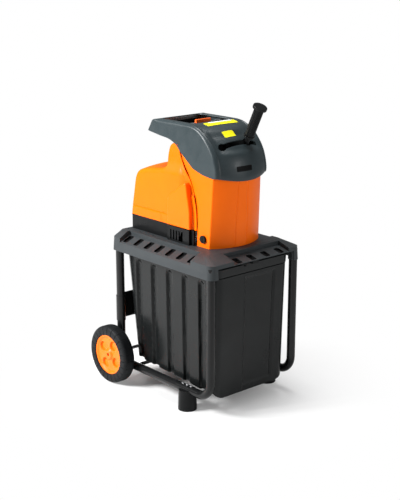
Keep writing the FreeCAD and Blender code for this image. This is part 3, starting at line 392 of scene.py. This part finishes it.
def shade_slots(piece):
    """Paints shade into the deck's blind slots: faces on their bottoms and walls get the darker slot_shadow
    material as painted shadow.
    """
    piece.data.materials.append(MATERIALS["slot_shadow"])
    for face in piece.data.polygons:
        x, y, z = face.center / MM
        side_level = 515 - 23 * (abs(x) - 150) / 52
        front_level = 511 - 14 * (-240 - y) / 56
        in_side = 153 < abs(x) < 189 and 480 < z < side_level - 1
        in_front = -288 < y < -254 and 480 < z < front_level - 1
        in_side = in_side and min(abs(y - middle) for middle in SIDE_SLOTS) < SLOT_REACH
        in_front = in_front and min(abs(x - middle) for middle in FRONT_SLOTS) < SLOT_REACH
        if in_side or in_front:
            face.material_index = 1


def u_shell(name, line, border, half, crown, roll, extra, turn=1, columns=34, side_rows=22, arc=7):
    """A shell like a bent saddle: a line in the middle plane is carried sideways and rolled down into
    flat sides that reach the border. half, crown and roll are functions of a point of the line, and
    extra moves each finished point. crown is how far the middle stands proud of the edges."""
    rows = []
    count = len(line)
    for index, spot in enumerate(line):
        ahead = line[min(index + 1, count - 1)] - line[max(index - 1, 0)]
        normal = Vector((0, -ahead.z, ahead.y)).normalized() * turn
        reach, radius, edge = half(spot), roll(spot), border[index]
        inner = spot - normal * radius
        rise = crown(spot)
        slope = math.atan(2 * max(0.0, rise.dot(normal)) * (reach - radius) / reach ** 2)
        left = []
        for step in range(side_rows):
            share = step / side_rows
            left.append(Vector((reach, mix(edge.y, inner.y, share), mix(edge.z, inner.z, share))))
        for step in range(arc):
            angle = (math.pi / 2 - slope) * step / arc
            point = inner + normal * radius * math.sin(angle)
            left.append(Vector((reach - radius + radius * math.cos(angle), point.y, point.z)))
        last = math.pi / 2 - slope
        start = reach - radius + radius * math.cos(last)
        shoulder = inner + normal * radius * math.sin(last)
        for step in range(columns + 1):
            x = start * (1 - step / columns)
            point = shoulder + rise * (1 - (x / start) ** 2)
            left.append(Vector((x, point.y, point.z)))
        row = [extra(Vector((-p.x, p.y, p.z)), spot, normal, -1) for p in left]
        row += [extra(p.copy(), spot, normal, 1) for p in reversed(left[:-1])]
        rows.append(row)
    return outward(grid(name, rows))


HOOD_STATIONS = 150
HOOD_LINE = [(-216.5, 758), (-217.5, 768), (-216.4, 780), (-213, 797), (-203.5, 825), (-187.5, 851),
             (-163, 878), (-140, 895), (-115, 906.5), (-88, 911.4), (-50, 912), (10, 912), (60, 911.6),
             (84, 911), (96, 908.6), (102, 903), (108, 891), (117.6, 873.5)]
HOOD_BORDER = [(-204, 757.5), (-188, 758.5), (-156, 762), (-114, 774), (-87, 788), (-45, 818),
               (-19, 841), (14, 855), (60, 861), (100, 867.5), (115, 871)]
HOOD_BULGE = [(740, 34), (795, 34), (825, 33.5), (851, 32.5), (878, 29), (896, 22), (906, 13),
              (911.5, 4), (912, 0)]
TAMPER_SLOPE = Vector((0, -0.447, 0.8944)).normalized()
TAMPER_FOOT = Vector((0, -202, 866))
TAMPER_X = 36


def on_slope(x, across, along):
    """A point given along the tamper's own direction and across it."""
    over = Vector((0, TAMPER_SLOPE.z, -TAMPER_SLOPE.y))
    return TAMPER_FOOT + Vector((x, 0, 0)) + over * across + TAMPER_SLOPE * along


def slot_cutter(left, right, half, start, end):
    """A slot with round ends, along x, driven through the hood along the tamper's direction."""
    outline = rounded_outline(left, right, -half, half, half - 0.1, 1, 12, 10)
    rows = [[on_slope(p.x, p.y, along) for p in outline] for along in (start, end)]
    return outward(grid("cutter", rows, wrap=True, close_first=True, close_last=True))


def build_hood():
    line = spline([(0, y, z) for y, z in HOOD_LINE], HOOD_STATIONS)
    border = spline([(0, y, z) for y, z in HOOD_BORDER], HOOD_STATIONS)

    def half(spot):
        return 111 - max(0.0, spot.z - 870) * 0.08

    def crown(spot):
        forward = between(HOOD_BULGE, spot.z)[0] if spot.y < -60 else 0
        return Vector((0, -forward, -13 * smooth(spot.z, 800, 758) if spot.y < -60 else 0))

    def roll(spot):
        return mix(10, 3, smooth(spot.y, 70, 95))

    def extra(point, spot, normal, sign):
        if abs(point.x) < 100:
            ridge = smooth(abs(point.x), 98.5, 95.5) * smooth(spot.y, -84, -130)
            dish = smooth(abs(point.x), 95, 76) * smooth(spot.z, 828, 852) * smooth(spot.z, 902, 884)
            dish *= 1.0 if spot.y < -60 else 0.0
            point = point - normal * (2.4 * ridge + 6.5 * dish)
        return point
    shell = u_shell("hood_skin", line, border, half, crown, roll, extra)
    thicken(shell, 3.2)
    outline = rounded_outline(-81, 81, -75, 85, 15)
    wide = rounded_outline(-84, 84, -78, 88, 17)
    mouth = grid("cutter", [[(p.x, p.y, 860) for p in outline], [(p.x, p.y, 906) for p in outline],
                            [(p.x, p.y, 916) for p in wide]], wrap=True, close_first=True, close_last=True)
    cut(shell, outward(mouth), slot_cutter(-80, 80, 9, -40, 60),
        slot_cutter(-79, -53, 12.9, -40, 60), slot_cutter(TAMPER_X - 14, TAMPER_X + 14, 13.9, -40, 60),
        crossing=True)
    crisp(shell)
    return finish_piece(shell, "hood")


SEAM = [(-124, 578), (-124, 610), (-120, 650), (-111, 686), (-96, 722), (-81, 748), (-62, 773),
        (-46, 798), (-35, 826), (-27, 845)]
SEAM_LINE = [(z, y) for y, z in SEAM]
POD = [(3, 655), (-4, 674), (-45, 704), (-84, 727), (-96, 690), (-106, 640)]
COVER_LINE = [(211, 578), (209.5, 590), (207, 607), (198, 652), (189.5, 695), (184, 712), (174, 727),
              (156, 737), (120, 746), (70, 754), (44, 758), (33, 762), (27, 772), (21.5, 802),
              (13.5, 828), (5, 839), (-8, 844.5), (-30, 845)]


COVER_FOOT = 578
COVER_STATIONS = 190
FOOT_STATIONS = 128


def cover_side(y, z):
    """How far out the cover's flat side stands at a point of the side view."""
    reach = mix(106.5, 116.8, smooth(z, 792, 742) * smooth(y, -95, -40) if z > 690 else 1)
    behind_seam = y - between(SEAM_LINE, z)[0]
    band = smooth(behind_seam, 21, 13)
    reach = mix(reach, min(reach, 110.5), band)
    reach += 2.2 * smooth(z, 610, 606) * smooth(y, 2, 6)
    reach -= 1.6 * smooth(abs(y - 42), 2.4, 0.6) * smooth(z, 607, 604)
    return reach - 1.8 * smooth(abs(z - 609), 3.0, 0.6) * smooth(y, 2, 6)


def build_cover():
    line = spline([(0, y, z) for y, z in COVER_LINE], COVER_STATIONS)
    bottom = [Vector((0, mix(196, -124, i / (FOOT_STATIONS - 1)), COVER_FOOT)) for i in range(FOOT_STATIONS)]
    seam = spline([(0, y, z) for y, z in SEAM], COVER_STATIONS - FOOT_STATIONS + 1)[1:]
    border = bottom + seam

    def half(spot):
        return mix(106.5, 117, smooth(spot.z, 772, 758)) if spot.y < 60 else 117

    def crown(spot):
        if spot.y < 30:
            return Vector((0, 3 * smooth(spot.z, 836, 820), 0))
        top = smooth(spot.z, 700, 738)
        return Vector((0, 4 * (1 - top), 9 * top * smooth(spot.y, 34, 60)))

    def roll(spot):
        return mix(16, 5, smooth(spot.y, 40, 20))

    def extra(point, spot, normal, sign):
        edge = abs(point.x)
        if edge > half(spot) - 1e-3:
            return Vector((sign * cover_side(point.y, point.z), point.y, point.z))
        return point
    shell = u_shell("motor_cover_skin", line, border, half, crown, roll, extra, turn=-1,
                    columns=26, side_rows=96, arc=8)
    thicken(shell, 2.8)
    return finish_piece(crisp(shell), "motor_cover")


def build_pods():
    """The raised fields on both sides of the cover, behind the seam."""
    for sign, name in ((-1, "left_cover_pod"), (1, "right_cover_pod")):
        outline = [(p.y, p.z) for p in spline([(0, y, z) for y, z in POD], 40)]
        foot = COVER_FOOT + 0.6
        corners = [(3, foot)] + outline + [(-107.5, foot)]
        pod = prism("x", corners, sign * 104, sign * 126.6)
        pod.name = name
        crisp(pod, 4.5, 4, 50)
        finish_piece(pod, body="chassis", material="shell_orange")


def tower_rows():
    rows = []
    for step in range(66):
        z = mix(528.15, 846, step / 65)
        share = (z - 528) / 226.0
        half = 108 - 5 * share
        corner = -182 - 12 * share
        seam = between([(520, -123), (560, -124)] + SEAM_LINE[1:], z)[0] - 0.7
        radius = 5
        side = [(half, mix(seam, corner + radius * 0.6, k / 25)) for k in range(26)]
        slope = math.atan(2 * 36 / half)
        edge = []
        for k in range(7):
            angle = (math.pi / 2 - slope) * k / 6
            edge.append((half - radius + radius * math.cos(angle),
                         corner + radius * (0.6 - math.sin(angle))))
        x0, y0 = edge[-1]
        front = []
        for k in range(1, 151):
            x = x0 * (1 - 2 * k / 150)
            y = y0 + (corner - 36 - y0) * (1 - (x / x0) ** 2)
            groove = 0
            for mark in (-30 + 6 * share, 20 - 8 * share):
                groove += smooth(abs(x - mark), 3.0, 0.4)
            front.append((x, y + 1.5 * groove))
        row = [(x, y, z) for x, y in side + edge + front]
        row += [(-x, y, z) for x, y in reversed(edge[:-1])] + [(-x, y, z) for x, y in reversed(side)]
        rows.append(row)
    return rows


def build_tower():
    shell = outward(grid("tower_skin", tower_rows()))
    thicken(shell, 2.8)
    crown = [(-400, 900), (-400, 769), (-200, 769), (-140, 773), (-96, 785), (-60, 805), (-30, 838),
             (-20, 900)]
    cut(shell, prism("x", crown, -200, 200))
    knob = prism("x", [(-155.5 + 6.6 * math.cos(a), 556 + 6.6 * math.sin(a))
                       for a in (2 * math.pi * k / 32 for k in range(32))], -130, -90)
    cut(shell, knob)
    crisp(shell)
    return finish_piece(shell, "tower_shell")


# ---------------------------------------------------------------- box
def groove_depth(y, z):
    depth = 0.0
    for index in range(5):
        centre = -202 + 79 * index
        across = abs(y - centre)
        top = 440 - 10 * (across / 15) ** 2 if across < 15 else 430
        depth = max(depth, smooth(across, 16.5, 10.5) * smooth(z, top + 4, top - 10))
    return 9.0 * depth


def build_box():
    floor, top, rear, drop = 88, 458.2, 188, 24
    rows = []
    for step in range(110):
        level = mix(floor, top, (step / 109) ** 1.25)
        share = (top - level) / (top - floor)
        base_round = 7 * (1 - math.sqrt(max(0.0, 1 - (1 - min(1, (level - floor) / 7.0)) ** 2)))
        grow = -6 * share - base_round
        outline = rounded_outline(-160 - grow, 160 + grow, -267 + 12 * share + base_round,
                                  rear - 41 * share - base_round, 30, 170, 60, 10)
        row = []
        for p in outline:
            dent = 0.0
            if abs(p.x) > 130 + grow:
                dent = groove_depth(p.y, level) * smooth(abs(p.x), 150 + grow, 159.5 + grow)
            z = level - drop * share * smooth_line(p.y, rear - 41, -255)
            row.append((p.x - math.copysign(dent, p.x), p.y, z))
        rows.append(row)
    shell = outward(grid("box_body_skin", rows, wrap=True, close_first=True))
    thicken(shell, 2.3)
    crisp(shell)
    return finish_piece(shell, "box_body")


def build_front_panel():
    low, high, half, radius = 52, 456, 160.5, 32
    across = []
    for k in range(13):
        across.append((half, mix(-236.5, -274 + radius, k / 12)))
    for k in range(1, 13):
        angle = math.pi / 2 * k / 12
        across.append((half - radius + radius * math.cos(angle), -274 + radius - radius * math.sin(angle)))
    flat = half - radius
    across += [(flat * (1 - 2 * k / 128), -274.0) for k in range(1, 129)]
    across += [(-x, y) for x, y in reversed(across[:24])]
    rows = []
    for step in range(100):
        share = step / 99
        row = []
        for x, y in across:
            round_start, corner = 112, 58
            length = abs(x)
            if length > flat:
                length = flat + radius * math.atan2(length - flat, -(y + 274 - radius))
            if y > -274 + radius:
                length = flat + radius * math.pi / 2 + y + 274 - radius
            inside = min(1.0, max(0.0, (length - round_start) / corner))
            foot = low + corner - corner * math.sqrt(max(0.0, 1 - inside * inside))
            z = mix(foot, high, share)
            lean = 13 * (1 - (z - low) / (high - low))
            field = smooth(x, -36, -32) * smooth(x, 98, 92)
            field *= smooth(z, low + 20, low + 28) * smooth(z, 446, 436)
            ridge = smooth(abs(x + 36), 3.2, 0.4) * smooth(z, 450, 440)
            groove = smooth(abs(x - 92), 7, 2) * smooth(z, low + 22, low + 30) * smooth(z, 448, 436)
            depth = 1.6 * field - 1.0 * ridge + 3.2 * groove if y < -270 else 0
            row.append((x, y + lean * (1 if y < -250 else smooth(y, -236, -250)) + depth, z))
        rows.append(row)
    shell = outward(grid("front_panel_skin", rows))
    thicken(shell, 2.8)
    crisp(shell)
    return finish_piece(shell, "box_front_panel")


# ---------------------------------------------------------------- wheels
def build_wheels():
    low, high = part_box("right_tyre")
    centre_y, centre_z = (low.y + high.y) / 2 / MM, (low.z + high.z) / 2 / MM
    face = high.x / MM
    ribs = 24
    angles = []
    for rib in range(ribs):
        for part in (0, 0.035, 0.07, 0.105, 0.3, 0.5, 0.7, 0.9):
            angles.append(2 * math.pi * (rib + part) / ribs)

    def tyre_rows(sign):
        profile = [(5, 68.5), (1.5, 70), (0.4, 72.5), (0, 76), (0, 82), (0, 88), (0.5, 92), (2.2, 95.5),
                   (5, 98.2), (8.5, 99.5), (13, 100), (33, 100), (37.5, 99.5), (41, 98.2), (43.8, 95.5),
                   (45.5, 92), (46, 88), (46, 76), (45.6, 72.5), (44.5, 70), (41, 68.5)]
        rows = []
        for depth, radius in profile:
            row = []
            for index, angle in enumerate(angles):
                part = index % 8
                sunk = {0: 0.0, 1: 1.0, 2: 1.0, 3: 0.0}.get(part, 0.0)
                bite = 2.4 * sunk * smooth(radius, 71, 74) * smooth(radius, 98.6, 93)
                inward = bite if depth < 23 else -bite
                tread = 0.7 * sunk * smooth(radius, 96, 99)
                row.append((sign * (face - depth - inward), centre_y + (radius - tread) * math.cos(angle),
                            centre_z + (radius - tread) * math.sin(angle)))
            rows.append(row)
        rows.append(rows[0])
        return rows

    def hub_rows(sign):
        rows = []
        radii = [6.3, 8, 11, 13, 14.5, 16] + [16 + 1.5 * k for k in range(1, 32)] + [64, 65.5, 67, 68.3]
        for radius in radii:
            row = []
            for k in range(144):
                angle = 2 * math.pi * k / 144
                depth = 4.0 + 5 * smooth(radius, 66, 56) - 5.5 * smooth(radius, 22, 14)
                for dimple in range(4):
                    turn = math.radians(32) + dimple * math.pi / 2
                    away = math.hypot(radius * math.cos(angle) - 40 * math.cos(turn),
                                      radius * math.sin(angle) - 40 * math.sin(turn))
                    depth += 13 * smooth(away, 17.5, 11)
                row.append((sign * (face - depth), centre_y + radius * math.cos(angle),
                            centre_z + radius * math.sin(angle)))
            rows.append(row)
        inner_side = [(6, 68.4), (20, 68.4), (40, 68.4), (42, 67), (42, 60), (38, 58), (16, 54), (16, 20),
                      (30, 18), (42, 16), (42, 8), (41, 6.3)]
        for depth, radius in inner_side:
            rows.append([(sign * (face - depth), centre_y + radius * math.cos(2 * math.pi * k / 144),
                          centre_z + radius * math.sin(2 * math.pi * k / 144)) for k in range(144)])
        rows.append(rows[0])
        return rows
    for side, sign in SIDES:
        tyre = outward(grid(side + "_tyre_skin", tyre_rows(sign), wrap=True))
        finish_piece(crisp(tyre), side + "_tyre")
        hub = outward(grid(side + "_hub_skin", hub_rows(sign), wrap=True))
        finish_piece(crisp(hub), side + "_hub")


# ---------------------------------------------------------------- tubes
RAIL = 67.5
BEND = 55
TUBE_RADIUS = 14
TUBE_WALL = 1.5


def build_tubes():
    def arc(centre_y, centre_z, radius, start, stop, x, count=14):
        return [Vector((x, centre_y + radius * math.cos(math.radians(mix(start, stop, k / count))),
                        centre_z + radius * math.sin(math.radians(mix(start, stop, k / count)))))
                for k in range(count + 1)]
    for side, sign in SIDES:
        for name, leg, turn, end in (("front", -271.75, 1, -165.2), ("rear", 190.25, -1, -164.8)):
            low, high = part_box("%s_%s_tube" % (side, name))
            x = (low.x + high.x) / 2 / MM
            top = high.z / MM
            path = [Vector((x, leg, top)), Vector((x, leg, 300)), Vector((x, leg, RAIL + BEND + 2))]
            start, stop = (180, 270) if turn > 0 else (0, -90)
            path += arc(leg + turn * BEND, RAIL + BEND, BEND, start, stop, x)
            path.append(Vector((x, end, RAIL)))
            tube = outward(grid("%s_%s_tube_skin" % (side, name), sweep(path, TUBE_RADIUS, 40), wrap=True))
            thicken(tube, TUBE_WALL)
            finish_piece(crisp(tube), "%s_%s_tube" % (side, name))


# ---------------------------------------------------------------- tamper
def build_tamper():
    spot = Vector((TAMPER_X, 0, 0)) + TAMPER_FOOT
    start, end = 15.2, 112.0
    grip = [(start, 8.3), (start, 14.6), (start + 1, 15.6)]
    at = start + 3
    while at < end - 3:
        grip += [(at, 15.9), (at + 0.9, 15.9), (at + 1.35, 15.2), (at + 2.15, 15.2), (at + 2.6, 15.9)]
        at += 2.6
    grip += [(end - 1, 15.9), (end, 14.8), (end, 8.3)]
    rings = spin(grip + grip[:1], spot, TAMPER_SLOPE, 64)
    handle = grid("tamper_grip_skin", rings, wrap=True)
    return finish_piece(crisp(outward(handle)), "tamper_grip")


# ---------------------------------------------------------------- labels
LABEL_WALL = 0.8
LABEL_STAND = 0.9
LABEL_DROP = 40


def patch(name, target, centre, normal, across, size, corner, material, body, bend=14):
    """A thin blank label with round corners, laid on a finished surface from LABEL_DROP above it."""
    normal = Vector(normal).normalized()
    across = Vector(across).normalized()
    along = normal.cross(across)
    width, length = size
    bpy.context.view_layer.update()
    rows = []
    for i in range(bend + 1):
        row = []
        for k in range(bend + 1):
            u, v = (2 * i / bend - 1), (2 * k / bend - 1)
            over = max(0.0, abs(u) - (1 - 2 * corner / width)) * width / 2 / corner
            up = max(0.0, abs(v) - (1 - 2 * corner / length)) * length / 2 / corner
            pull = corner * (1 - 1 / max(1.0, math.hypot(over, up))) if over and up else 0
            start = (Vector(centre) + across * (u * width / 2 - math.copysign(pull, u))
                     + along * (v * length / 2 - math.copysign(pull, v)) + normal * LABEL_DROP)
            hit, place, _, _ = target.ray_cast(start * MM, -normal)
            row.append(place / MM + normal * LABEL_STAND if hit else start - normal * LABEL_DROP)
        rows.append(row)
    piece = outward(grid(name, rows))
    if sum((face.normal for face in piece.data.polygons), Vector()).dot(normal) < 0:
        piece.data.flip_normals()
    thicken(piece, LABEL_WALL)
    crisp(piece)
    return finish_piece(piece, body=body, material=material)


def build_labels(hood_piece):
    over = (0, -0.447, 0.894)
    patch("warning_strip", hood_piece, (8, -106, 909), (0, -0.30, 0.95), (1, 0, 0), (128, 26), 2,
          "label_yellow", "chassis")
    patch("warning_strip_note", hood_piece, (14, -94, 911.5), (0, -0.15, 0.98), (1, 0, 0), (96, 9), 1,
          "label_white", "chassis")
    patch("small_label", hood_piece, (-14, -168, 884), over, (1, 0, 0), (44, 24), 2, "label_yellow",
          "chassis")
    patch("badge_blank", hood_piece, (-16, -248, 786), (0, -0.98, 0.12), (1, 0, 0), (58, 17), 2,
          "label_black", "chassis")


# ---------------------------------------------------------------- scenery
FLOOR_REACH = 12.0


def studio_floor():
    """A pale floor that goes over into an even white away from the object. The white is painted light, seen
    by camera rays only; it fades in from 0.05 m out, so it also lightens the object's shadow on the floor
    near it.
    """
    mesh = bpy.data.meshes.new("floor")
    corners = [(x * FLOOR_REACH, y * FLOOR_REACH, 0) for x, y in ((-1, -1), (1, -1), (1, 1), (-1, 1))]
    mesh.from_pydata(corners, [], [(0, 1, 2, 3)])
    floor = bpy.data.objects.new("floor", mesh)
    scene.collection.objects.link(floor)
    pale = plastic("floor_pale", (0.90, 0.90, 0.90), 0.7, 0, patches=0.01, edge=0)
    mesh.materials.append(pale)
    tree = pale.node_tree
    glow = tree.nodes.new("ShaderNodeEmission")
    blend = tree.nodes.new("ShaderNodeMixShader")
    where = tree.nodes.new("ShaderNodeTexCoord")
    far = tree.nodes.new("ShaderNodeVectorMath")
    far.operation = "LENGTH"
    fade = tree.nodes.new("ShaderNodeMapRange")
    fade.interpolation_type = "SMOOTHSTEP"
    # painted light: the camera-only white starts at 0.05 m and is full at 0.7 m, washing out the cast shadow
    # near the object
    for socket, value in (("From Min", 0.05), ("From Max", 0.7)):
        fade.inputs[socket].default_value = value
    seen = tree.nodes.new("ShaderNodeLightPath")
    both = tree.nodes.new("ShaderNodeMath")
    both.operation = "MULTIPLY"
    tree.links.new(where.outputs["Object"], far.inputs[0])
    tree.links.new(far.outputs["Value"], fade.inputs["Value"])
    tree.links.new(fade.outputs["Result"], both.inputs[0])
    tree.links.new(seen.outputs["Is Camera Ray"], both.inputs[1])
    tree.links.new(both.outputs["Value"], blend.inputs["Fac"])
    tree.links.new(tree.nodes["Principled BSDF"].outputs["BSDF"], blend.inputs[1])
    tree.links.new(glow.outputs["Emission"], blend.inputs[2])
    tree.links.new(blend.outputs["Shader"], tree.nodes["Material Output"].inputs["Surface"])


def studio_world():
    """White behind the object, and a weak even light on it."""
    world = bpy.data.worlds.new("studio")
    scene.world = world
    world.use_nodes = True
    tree = world.node_tree
    background = tree.nodes["Background"]
    background.inputs["Color"].default_value = (1, 1, 1, 1)
    seen = tree.nodes.new("ShaderNodeLightPath")
    bright = tree.nodes.new("ShaderNodeMapRange")
    for socket, value in (("To Min", 0.19), ("To Max", 1.0)):
        bright.inputs[socket].default_value = value
    tree.links.new(seen.outputs["Is Camera Ray"], bright.inputs["Value"])
    tree.links.new(bright.outputs["Result"], background.inputs["Strength"])


def studio_lamps():
    for name, place, power, width in (("key", (-2.4, 1.1, 1.9), 172, 0.9),
                                      ("top", (0.2, 0.3, 3.4), 85, 1.6),
                                      ("front", (1.0, -3.4, 1.4), 27, 1.0)):
        light = bpy.data.lights.new(name, "AREA")
        light.energy = power
        light.size = width
        lamp = bpy.data.objects.new(name, light)
        lamp.location = place
        aim = Vector((0, 0, 0.5)) - Vector(place)
        lamp.rotation_euler = aim.to_track_quat("-Z", "Y").to_euler()
        scene.collection.objects.link(lamp)


def camera():
    lens = bpy.data.cameras.new("camera")
    lens.sensor_fit = "VERTICAL"
    lens.sensor_height = 36
    lens.lens = 79.0
    eye = bpy.data.objects.new("camera", lens)
    eye.location = (-2.3246, -2.6733, 1.4543)
    aim = Vector((-0.0001, -0.01475, 0.4717)) - Vector(eye.location)
    eye.rotation_euler = aim.to_track_quat("-Z", "Y").to_euler()
    scene.collection.objects.link(eye)
    scene.camera = eye


# ---------------------------------------------------------------- build
for node_name, node_object in NODES.items():
    paint(node_object, NODE_SLOT[node_name])
build_labels(build_hood())
build_tower()
build_box()
build_front_panel()
build_wheels()
build_tubes()
build_tamper()
build_pods()
build_cover()
EDGE_WIDTHS = {"deck": 1.2, "motor_base": 1.0, "box_rim": 1.0, "front_feet": 1.2, "tamper_knob": 1.2,
               "tamper_collar": 1.0, "feed_flap": 0.8, "lock_slider": 0.6, "crossbars": 0.4,
               "rear_cross_plate": 0.8, "feed_chute": 0.5, "power_inlet": 0.5, "switch_panel": 0.6,
               "adjuster_knob": 0.8}
for node_name, width in EDGE_WIDTHS.items():
    soften(node_name, width)
shade_slots(bpy.data.objects["deck_skin"])
studio_floor()
studio_world()
studio_lamps()
camera()
scene.view_settings.view_transform = "Standard"
